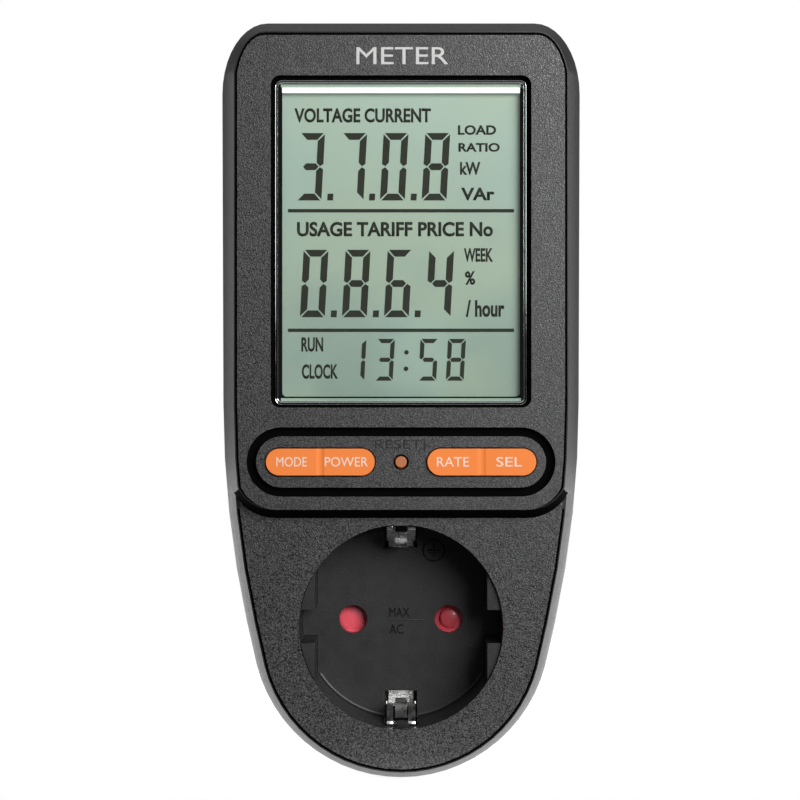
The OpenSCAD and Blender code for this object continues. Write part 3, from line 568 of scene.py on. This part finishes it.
def round_edges(obj, width):
    """Rounds an object's sharp edges by width in millimetres, and smooths it."""
    bevel = obj.modifiers.new("round", "BEVEL")
    bevel.width = width * MM
    bevel.segments = 2
    bevel.limit_method = "ANGLE"
    bevel.angle_limit = SHARP
    smooth(obj)


def soften(obj, width):
    """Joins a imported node's faces, rounds its edges unless width is 0, and smooths it."""
    first = obj.modifiers.new("join", "NODES")
    first.node_group = JOIN
    if not width:
        smooth(obj)
        return
    flat = obj.modifiers.new("flat", "DECIMATE")
    flat.decimate_type = "DISSOLVE"
    flat.angle_limit = ONE_PLANE
    round_edges(obj, width)


def paint(obj, material):
    obj.data.materials.clear()
    obj.data.materials.append(material)


# Colour, roughness and depth of the grain in millimetres, and then, where they differ from the
# usual, the grain's scale, the variation of the colour, the weight of the coat and the shine
PLASTICS = {
    "socket_black": ((0.017, 0.017, 0.0175), 0.42, 0.03, 3000),
    "plug_black": ((0.024, 0.024, 0.025), 0.36, 0.02, 1200),
    "key_orange": ((0.95, 0.262, 0.062), 0.5, 0.006, 2000, 0.03, 0.0, 0.1),
    "shutter_red": ((0.95, 0.11, 0.15), 0.35, 0.01, 900, 0.08, 0.3),
    "frame_white": ((0.8, 0.8, 0.77), 0.4, 0.01),
    "elastomer_pink": ((0.62, 0.25, 0.3), 0.6, 0.02),
    "chip_black": ((0.018, 0.018, 0.019), 0.5, 0.02, 2500),
    "switch_black": ((0.03, 0.03, 0.03), 0.45, 0.02),
    "plunger_white": ((0.72, 0.72, 0.68), 0.4, 0.01),
    "capacitor_yellow": ((0.72, 0.5, 0.04), 0.4, 0.02),
    "capacitor_sleeve": ((0.015, 0.02, 0.07), 0.25, 0.01),
    "varistor_blue": ((0.02, 0.09, 0.4), 0.3, 0.05, 600),
    "resistor_green": ((0.05, 0.28, 0.11), 0.4, 0.03, 700),
    "resistor_tan": ((0.62, 0.46, 0.27), 0.35, 0.02, 700),
    "battery_green": ((0.06, 0.3, 0.1), 0.25, 0.01),
    "carrier_ivory": ((0.72, 0.68, 0.58), 0.45, 0.02),
    "header_cream": ((0.78, 0.74, 0.62), 0.45, 0.01),
    "ribbon_grey": ((0.42, 0.42, 0.44), 0.5, 0.02),
    "wire_blue": ((0.03, 0.1, 0.5), 0.4, 0.01),
    "label_grey": ((0.5, 0.5, 0.51), 0.35, 0.01, 1800),
}

# Colour and roughness, then the stretch of the streaks and the depth of the scratches
METALS = {
    "lcd_silver": ((0.72, 0.74, 0.72), 0.35),
    "steel_plain": ((0.58, 0.58, 0.57), 0.3),
    "nickel": ((0.96, 0.955, 0.94), 0.3, (1, 0.1, 1), 0.0004),
    "brass_strip": ((0.72, 0.5, 0.2), 0.28, (1, 0.1, 1)),
    "manganin": ((0.5, 0.33, 0.25), 0.35, (1, 1, 0.1)),
    "spring_steel": ((0.5, 0.5, 0.51), 0.22),
}

MATERIALS = {
    "housing_black": housing_plastic("housing_black", (0.011, 0.011, 0.0114), 0.36),
    "window_clear": clear_acrylic("window_clear"),
    # The display's lower and upper colours, between which its painted light fade runs, and a
    # painted glow
    "lcd_glass": display_green("lcd_glass", (0.235, 0.315, 0.262), (0.40, 0.505, 0.425)),
    "board_green": board_laminate("board_green", (0.012, 0.10, 0.045)),
}
for kind, finishes in ((plastic, PLASTICS), (metal, METALS)):
    for slot, finish in finishes.items():
        MATERIALS[slot] = kind(slot, *finish)

# Painted shade: a darker copy of the key orange for the reset button, which sits sunk in its hole.
SHADED_RESET_ORANGE = plastic("reset_orange_painted_shade", (0.5, 0.16, 0.055), 0.5, 0.006, 2000, 0.06)
INK = display_ink("display_ink")
WHITE_PRINT = print_paint("white_print", (0.66, 0.66, 0.65))
LEGEND_PRINT = print_paint("legend_print", (0.97, 0.78, 0.66))
MARK_BLACK = print_paint("mark_black", (0.006, 0.006, 0.006), 0.15)
# Painted highlight: white with a painted glow, for the band behind the top of the pane.
PAINTED_HIGHLIGHT_WHITE = print_paint("painted_highlight_white", (0.98, 0.98, 0.97), 0.5, 0.3)

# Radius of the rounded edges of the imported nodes, in millimetres
ROUNDED = {
    "front_shell": 0.2, "rear_shell": 0.15, "button_left": 0.3, "button_right": 0.3,
    "reset_button": 0.2, "socket_well": 0.22, "socket_base": 0.14, "shutter": 0.2,
    "plug_body": 0.3, "contact_carrier": 0.2, "x2_capacitor": 0.4, "board_headers": 0.2,
    "lcd_frame": 0.15, "metering_chip": 0.1, "controller_chip": 0.05, "varistor": 0.8,
    "electrolytic_capacitors": 0.5, "backup_battery": 0.4, "switch_bodies": 0.15,
    "display_board": 0.1, "power_board": 0.1, "case_screws": 0.15, "rating_label": 0.03,
    "fuse_resistor": 0.4, "rectifier_diodes": 0.3, "dropper_resistors": 0.3, "crystal": 0.2,
}


def finish_nodes():
    slots = {part["node"]: part["material_slot"] for part in frame["record"]["subparts"]}
    for name, obj in nodes.items():
        paint(obj, MATERIALS[slots[name]])
        soften(obj, ROUNDED.get(name, 0))
    # The reset button gets the painted shade copy of the key orange.
    paint(nodes["reset_button"], SHADED_RESET_ORANGE)


# ---------------------------------------------------------------- mesh helpers


def point(x, y, z):
    """A point given in millimetres."""
    return Vector((x * MM, y * MM, z * MM))


def add_piece(name, bm, slot, body="housing", material=None):
    bmesh.ops.recalc_face_normals(bm, faces=bm.faces)
    mesh = bpy.data.meshes.new(name)
    bm.to_mesh(mesh)
    bm.free()
    obj = bpy.data.objects.new(name, mesh)
    bpy.context.scene.collection.objects.link(obj)
    mesh.materials.append(material or MATERIALS[slot])
    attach(obj, body)
    return obj


def loft(bm, loops, closed=False):
    """Quads between loops of points in millimetres, and a face across the first and the last.
    A closed loft joins the last loop to the first instead."""
    rings = [[bm.verts.new(point(*p)) for p in loop] for loop in loops]
    pairs = list(zip(rings, rings[1:]))
    if closed:
        pairs.append((rings[-1], rings[0]))
    for a, b in pairs:
        for i in range(len(a)):
            j = (i + 1) % len(a)
            bm.faces.new((a[i], a[j], b[j], b[i]))
    if not closed:
        bm.faces.new(rings[0][::-1])
        bm.faces.new(rings[-1])


def prism(bm, outline, front, back):
    """A plate with the given outline in X and Z, between two levels along Y."""
    loft(bm, [[(x, y, z) for x, z in outline] for y in (front, back)])


def rectangle(x0, z0, x1, z1):
    return [(x0, z0), (x1, z0), (x1, z1), (x0, z1)]


def arc(x, z, r, first, last, steps):
    """Points in X and Z from the first to the last angle, in degrees."""
    angles = [math.radians(first + (last - first) * i / steps) for i in range(steps + 1)]
    return [(x + r * math.cos(a), z + r * math.sin(a)) for a in angles]


def rounded(x0, z0, x1, z1, r, steps=8):
    """A rectangle with rounded corners, as points in X and Z."""
    points = []
    for i, (x, z) in enumerate(rectangle(x0 + r, z0 + r, x1 - r, z1 - r)):
        points += arc(x, z, r, 180 + 90 * i, 270 + 90 * i, steps)
    return points


def circle(x, z, r, steps):
    return arc(x, z, r, 0, 360, steps)[:-1]


def smooth_line(points, steps=6):
    """A finer line through the given points, without corners (a Catmull-Rom curve)."""
    ends = [Vector(p) for p in (points[0], *points, points[-1])]
    line = []
    for p0, p1, p2, p3 in zip(ends, ends[1:], ends[2:], ends[3:]):
        slope = p2 - p0
        square = 2 * p0 - 5 * p1 + 4 * p2 - p3
        cube = 3 * p1 - p0 - 3 * p2 + p3
        for k in range(steps):
            t = k / steps
            line.append(0.5 * (2 * p1 + slope * t + square * t * t + cube * t ** 3))
    line.append(ends[-1])
    return line


def bend(bm, line, x0, x1, thick, flip=1):
    """A strip of sheet between x0 and x1 that follows a line of (y, z) points in millimetres."""
    last = len(line) - 1
    loops = []
    for i, p in enumerate(line):
        along = (line[min(i + 1, last)] - line[max(i - 1, 0)]).normalized()
        side = Vector((-along.y, along.x)) * thick / 2
        a, b = p + side, p - side
        corners = ((x0, a), (x1, a), (x1, b), (x0, b))
        loops.append([(x, q.x, flip * q.y) for x, q in corners])
    loft(bm, loops)


def flat_words(text, weight):
    """The filled outlines of a text, in the font's own units."""
    curve = bpy.data.curves.new("words", "FONT")
    curve.body = text
    curve.resolution_u = 4
    curve.offset = weight
    curve.fill_mode = "FRONT"
    scratch = bpy.data.objects.new("words", curve)
    bpy.context.scene.collection.objects.link(scratch)
    graph = bpy.context.evaluated_depsgraph_get()
    mesh = bpy.data.meshes.new_from_object(scratch.evaluated_get(graph))
    glyphs = bmesh.new()
    glyphs.from_mesh(mesh)
    bpy.data.objects.remove(scratch)
    bpy.data.meshes.remove(mesh)
    return glyphs


def lettering(name, lines, front, back, slot, material=None, body="housing", weight=0.0):
    """Raised words: each line is (text, left x, right x, lower z, upper z), in millimetres."""
    bm = bmesh.new()
    for text, left, right, low, high in lines:
        glyphs = flat_words(text, weight)
        xs = [v.co.x for v in glyphs.verts]
        zs = [v.co.y for v in glyphs.verts]
        x0, x1, z0, z1 = min(xs), max(xs), min(zs), max(zs)
        for v in glyphs.verts:
            x = left + (v.co.x - x0) / (x1 - x0) * (right - left)
            z = low + (v.co.y - z0) / (z1 - z0) * (high - low)
            v.co = point(x, front, z)
        bmesh.ops.remove_doubles(glyphs, verts=glyphs.verts, dist=0.001 * MM)
        made = bmesh.ops.extrude_face_region(glyphs, geom=glyphs.faces[:])
        for item in made["geom"]:
            if isinstance(item, bmesh.types.BMVert):
                item.co.y = back * MM
        done = bpy.data.meshes.new("words_done")
        glyphs.to_mesh(done)
        glyphs.free()
        bm.from_mesh(done)
        bpy.data.meshes.remove(done)
    return add_piece(name, bm, slot, body, material)


# ---------------------------------------------------------------- display figures and words

# Which of the seven bars are lit for each figure: top, upper right, lower right, bottom,
# lower left, upper left, middle
LIT = {
    "0": "1111110", "1": "0110000", "3": "1111001", "4": "0110011", "5": "1011011",
    "6": "1011111", "7": "1110000", "8": "1111111",
}
INK_FRONT = LCD_Y - 0.05
INK_BACK = LCD_Y - 0.01
SLANT = 0.055

# Width, height, thickness of the bars and gap between them
BIG = (4.75, 12.9, 1.3, 0.24)
SMALL = (3.42, 8.0, 0.8, 0.18)

# Figures, their size, their lower end, their left sides, and the left sides of their points
FIGURE_ROWS = (
    ("3708", BIG, 81.8, (-20.0, -11.95, -4.03, 3.95), (-14.13, -6.13, 1.83)),
    ("0864", BIG, 59.45, (-19.34, -11.3, -3.26, 4.7), (-13.45, -5.4, 2.6)),
    ("1358", SMALL, 47.3, (-10.47, -5.02, 3.3, 8.57), ()),
)
DISPLAY_WORDS = (
    ("VOLTAGE CURRENT", -20.4, 5.73, 96.7, 99.45),
    ("LOAD", 10.9, 18.2, 94.35, 96.2),
    ("RATIO", 11.0, 18.9, 91.1, 92.8),
    ("kW", 11.3, 15.2, 86.7, 89.15),
    ("VAr", 11.5, 17.9, 81.8, 84.25),
    ("USAGE TARIFF PRICE No", -19.9, 17.6, 74.9, 77.7),
    ("WEEK", 12.05, 17.6, 70.05, 72.65),
    ("%", 12.24, 14.2, 65.65, 68.25),
    ("/ hour", 12.4, 19.8, 59.5, 62.75),
    ("RUN", -19.06, -14.9, 52.85, 55.6),
    ("CLOCK", -18.96, -12.07, 47.65, 50.45),
)


def bars(w, h, t, gap):
    """Outlines of the seven bars of a figure, in the order of LIT, from its lower left corner."""
    m = h / 2
    c = t / 2
    top = [(gap, h), (w - gap, h), (w - t - gap * 0.4, h - t), (t + gap * 0.4, h - t)]
    right = [
        (w, h - gap),
        (w, m + gap + c * 0.4),
        (w - c, m + gap * 0.4),
        (w - t, m + c + gap * 0.6),
        (w - t, h - t - gap),
    ]
    middle = [
        (c + gap, m),
        (t + gap * 0.7, m + c),
        (w - t - gap * 0.7, m + c),
        (w - c - gap, m),
        (w - t - gap * 0.7, m - c),
        (t + gap * 0.7, m - c),
    ]
    left = [(w - u, v) for u, v in right]
    lower_right, bottom, lower_left = ([(u, h - v) for u, v in bar] for bar in (right, top, left))
    return [top, right, lower_right, bottom, lower_left, left, middle]


def ink_plate(bm, outline, x, z):
    """A plate of ink with the given outline from (x, z), slanted as the figures are."""
    prism(bm, [(x + u + SLANT * v, z + v) for u, v in outline], INK_FRONT, INK_BACK)


def add_digits():
    bm = bmesh.new()
    for chars, size, z, lefts, point_lefts in FIGURE_ROWS:
        for char, x in zip(chars, lefts):
            for lit, outline in zip(LIT[char], bars(*size)):
                if lit == "1":
                    ink_plate(bm, outline, x, z)
        for x in point_lefts:
            ink_plate(bm, rectangle(0, 0, 1.12, 1.3), x, z)
    add_piece("display_digits", bm, "lcd_glass", material=INK)


def add_lines():
    """The two lines across the display, and the colon of the clock."""
    bm = bmesh.new()
    for low, high in ((79.5, 80.15), (56.62, 57.27)):
        prism(bm, rectangle(-21.64, low, 21.62, high), INK_FRONT, INK_BACK)
    for x, z in ((1.04, 52.73), (0.95, 49.57)):
        prism(bm, circle(x, z, 0.44, 24), INK_FRONT, INK_BACK)
    add_piece("display_lines", bm, "lcd_glass", material=INK)


def add_words():
    """The words on the display, and the title above the window."""
    lettering("display_words", DISPLAY_WORDS, INK_FRONT, INK_BACK, "lcd_glass", INK, weight=0.03)
    title = [("METER", -8.5, 9.0, 107.5, 110.75)]
    lettering("front_print", title, BLOCK_Y - 0.03, BLOCK_Y + 0.1, "label_grey", WHITE_PRINT)


# ---------------------------------------------------------------- window pane

RIM = 0.86                      # width of the pane's cut edge, which has painted highlights at its upper and lower ends
CORNER = 1.4
# Levels of the painted light bands behind the pane, in millimetres
PAINTED_BAND_FRONT = PANE_BACK - 0.08
PAINTED_BAND_BACK = PANE_BACK - 0.01

# The cut edge from outside to inside: distance from the pane's side, and from its back
EDGE_PROFILE = (
    (0.0, 0.0), (0.0, 0.42), (0.06, 0.56), (0.2, 0.78), (0.27, 0.83), (0.34, 0.78),
    (0.40, 0.80), (0.56, 1.0), (0.64, 1.05), (0.74, 1.0), (RIM, 0.9), (RIM, 0.0),
)


def pane_loop(inset, y):
    """The pane's outline, drawn in by inset, at the level y."""
    corners = (-PANE_W + inset, PANE_Z0 + inset, PANE_W - inset, PANE_Z1 - inset)
    return [(x, y, z) for x, z in rounded(*corners, max(CORNER - inset * 0.7, 0.3))]


def add_pane():
    bm = bmesh.new()
    loft(bm, [pane_loop(RIM + 0.01, y) for y in (PAINTED_BAND_FRONT - 0.02, PANE_FRONT)])
    pane = add_piece("display_pane", bm, "window_clear")
    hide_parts("display_window")


def add_painted_bands():
    """Painted light behind the pane, above and below the image: a white painted highlight with a
    painted glow along the top, and bands in the display's glowing colour at both ends, a painted
    reflection over the black ledge.
    """
    bm = bmesh.new()
    # Painted highlight: a white band with a painted glow along the top of the image.
    prism(bm, rectangle(-22.7, 102.15, 22.7, 103.25), PAINTED_BAND_FRONT, PAINTED_BAND_BACK)
    add_piece("pane_painted_highlight_top", bm, "frame_white", material=PAINTED_HIGHLIGHT_WHITE)
    bm = bmesh.new()
    # Painted reflection: bands in the display's glowing colour over the black ledge at both ends.
    for low, high in ((43.35, 43.95), (103.27, 103.85)):
        prism(bm, rectangle(-22.9, low, 22.9, high), PAINTED_BAND_FRONT, PAINTED_BAND_BACK)
    add_piece("pane_painted_reflection_bands", bm, "lcd_glass")


def add_pane_edge():
    bm = bmesh.new()
    loft(bm, [pane_loop(inset, PANE_BACK - rise) for inset, rise in EDGE_PROFILE], closed=True)
    edge = add_piece("pane_edge", bm, "window_clear", material=cut_edge("cut_edge"))
    edge.visible_shadow = False
    smooth(edge)


# ---------------------------------------------------------------- keys

KEY_WORDS = {
    "left": (("MODE", -23.7, -17.9), ("POWER", -14.5, -6.3)),
    "right": (("RATE", 6.8, 12.9), ("SEL", 18.1, 23.0)),
}
KEY_WORDS_Z = (30.95, 32.75)


def add_key_legends():
    for side, words in KEY_WORDS.items():
        lines = [(*word, *KEY_WORDS_Z) for word in words]
        levels = (KEY_FRONT - 0.03, KEY_FRONT + 0.08)
        name = "key_legend_" + side
        lettering(name, lines, *levels, "key_orange", LEGEND_PRINT, "rocker_" + side)


def add_reset_mark():
    lines = [("RESET", -5.0, 3.9, 34.35, 36.0), ("I", 4.4, 4.65, 33.8, 36.0)]
    lettering("reset_mark", lines, BLOCK_Y - 0.08, BLOCK_Y + 0.1, "housing_black")


# ---------------------------------------------------------------- socket

MARK_FRONT = FLOOR_Y - 0.14
MARK_BACK = FLOOR_Y + 0.06
MARK_ROUND = 0.04

EARTH_X = 6.5                   # centre and radius of the earth symbol
EARTH_Z = 13.7
EARTH_R = 2.26
EARTH_RING = 0.28               # width of the ring's line
EARTH_HALF = 0.13               # half the width of the other lines

FILLET = 0.55
FILLET_R = WELL_R - 0.02
FILLET_STEPS = 6
WALL_STEPS = 40
# Where the wall of the well is free of the guides and the earth contacts, in degrees
FREE_WALL = ((-146, -100.5), (-79.5, -34), (34, 79.5), (100.5, 146))

# Earth contacts, as (y, z) points along the middle of the sheet: the tongue and the legs with
# their curled tips, and the stretch behind them
SHEET = 0.42
BEND_Y = -21.5
TONGUE = (
    (BEND_Y, 17.9), (-24.5, 17.6), (-31, 17.1), (-33.5, 16.0), (-35.5, 15.25), (-36.6, 15.1),
    (-37.6, 15.4), (-38.6, 15.35), (-39.6, 15.75), (-40.8, 16.9), (-41.7, 17.6), (-42.2, 17.9),
)
LEG = (
    (BEND_Y, 17.9), (-24.5, 17.6), (-31, 17.2), (-34, 16.6), (-36.5, 16.2), (-38.5, 16.5),
    (-41, 18.1), (-42.6, 19.1), (-43.35, 19.35), (-43.75, 19.05), (-43.6, 18.6),
)
REAR = ((-1.5, 17.9), (-10, 17.9), (BEND_Y, 17.9))

# Sides of the strips of sheet that follow each line
STRIPS = ((TONGUE, -1.15, 1.15), (LEG, -2.75, -1.55), (LEG, 1.4, 2.8), (REAR, -2.8, 2.8))

# Domes on the shutter: centre, radius, and how far they stand proud of it
DOMES = ((-9.3, 3.2, 0.16), (10.0, 2.2, 0.2))
DOME_ROOT = 0.5                 # depth of their centres behind the shutter's face

# Return spring: its ends, its axis, the radius of its turns and that of its wire
SPRING_X0 = 12.95
SPRING_X1 = 22.2
SPRING_Y = -26.15
SPRING_R = 0.9
WIRE_R = 0.16
TURNS = 8
TURN_STEPS = 20
WIRE_SIDES = 8


def add_earth_symbol():
    """The standard protective earth symbol: a ring, a stem and three bars."""
    bm = bmesh.new()
    inner = EARTH_R - EARTH_RING
    section = (
        (EARTH_R, MARK_BACK), (EARTH_R, MARK_FRONT), (inner, MARK_FRONT), (inner, MARK_BACK),
    )
    loops = [[(x, y, z) for x, z in circle(EARTH_X, EARTH_Z, r, 48)] for r, y in section]
    loft(bm, loops, closed=True)
    marks = [(EARTH_HALF, 0.1, 1.45)]
    for half, z in ((1.25, 0.0), (0.85, -0.55), (0.45, -1.1)):
        marks.append((half, z - EARTH_HALF, z + EARTH_HALF))
    for half, low, high in marks:
        outline = rectangle(EARTH_X - half, EARTH_Z + low, EARTH_X + half, EARTH_Z + high)
        prism(bm, outline, MARK_FRONT, MARK_BACK)
    round_edges(add_piece("earth_symbol", bm, "socket_black", material=MARK_BLACK), MARK_ROUND)


def add_well_marks():
    bm = bmesh.new()
    prism(bm, rectangle(-2.4, -0.32, 4.6, -0.08), MARK_FRONT, MARK_BACK)
    round_edges(add_piece("well_bar", bm, "socket_black"), MARK_ROUND)
    lines = [("MAX", -2.3, 1.7, 0.5, 2.3), ("AC", -2.3, 0.5, -2.9, -1.0)]
    lettering("well_marks", lines, MARK_FRONT, MARK_BACK, "socket_black", MARK_BLACK)


def add_well_fillet():
    """A small round fillet where the wall of the well meets its floor."""
    curve = [(u - FILLET, v - FILLET) for u, v in arc(0, 0, FILLET, 90, 0, FILLET_STEPS)]
    section = [(0, 0), *curve]
    bm = bmesh.new()
    for first, last in FREE_WALL:
        loops = []
        for x, z in arc(0, 0, 1, first, last, WALL_STEPS):
            radial = [(FILLET_R + u, FLOOR_Y + v) for u, v in section]
            loops.append([(r * x, y, r * z) for r, y in radial])
        loft(bm, loops)
    smooth(add_piece("well_fillet", bm, "socket_black"))


def add_earth_contacts():
    """A centre tongue between two legs with curled tips, above and below, bent from one sheet."""
    bm = bmesh.new()
    for flip in (1, -1):
        for line, left, right in STRIPS:
            bend(bm, smooth_line(line), left, right, SHEET, flip)
    bridge = [Vector((BEND_Y - 0.7, z)) for z in (-18, -9, 0, 9, 18)]
    bend(bm, bridge, -2.5, 2.5, SHEET)
    bow = add_piece("earth_contacts", bm, "nickel")
    round_edges(bow, 0.09)
    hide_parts("earth_bow")


def add_shutter_domes():
    """Domes on the shutter behind the pin holes."""
    bm = bmesh.new()
    for x, r, proud in DOMES:
        made = bmesh.ops.create_uvsphere(bm, u_segments=32, v_segments=16, radius=1)
        for v in made["verts"]:
            y = SHUTTER_Y + DOME_ROOT + v.co.y * (DOME_ROOT + proud)
            v.co = point(x + v.co.x * r, y, v.co.z * r)
    smooth(add_piece("shutter_domes", bm, "shutter_red", "sliding_shutter"))


def add_return_spring():
    """Round wire coiled between the shutter and its stop."""
    steps = TURNS * TURN_STEPS
    advance = (SPRING_X1 - SPRING_X0 - 2 * WIRE_R) / steps
    loops = []
    for i in range(steps + 1):
        turn = 2 * math.pi * i / TURN_STEPS
        middle = SPRING_X0 + WIRE_R + advance * i
        loop = []
        for r, x in circle(SPRING_R, middle, WIRE_R, WIRE_SIDES):
            loop.append((x, SPRING_Y + r * math.cos(turn), r * math.sin(turn)))
        loops.append(loop)
    bm = bmesh.new()
    loft(bm, loops)
    spring = add_piece("return_spring", bm, "spring_steel")
    smooth(spring)
    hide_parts("shutter_spring")
    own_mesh(spring)


# ---------------------------------------------------------------- stage


def add_floor():
    bm = bmesh.new()
    bmesh.ops.create_circle(bm, cap_ends=True, radius=FLOOR_R, segments=96)
    mesh = bpy.data.meshes.new("floor")
    bm.to_mesh(mesh)
    bm.free()
    mesh.materials.append(pale_floor("floor_pale"))
    floor = bpy.data.objects.new("floor", mesh)
    floor.location = (0, FLOOR_BACK, cad_low.z)
    bpy.context.scene.collection.objects.link(floor)


finish_nodes()
add_digits()
add_lines()
add_words()
add_pane()
add_painted_bands()
add_pane_edge()
add_key_legends()
add_reset_mark()
add_earth_symbol()
add_well_marks()
add_well_fillet()
add_earth_contacts()
add_shutter_domes()
add_return_spring()
add_camera()
add_floor()
add_world()
add_lights()
bpy.context.scene.view_settings.view_transform = "Standard"
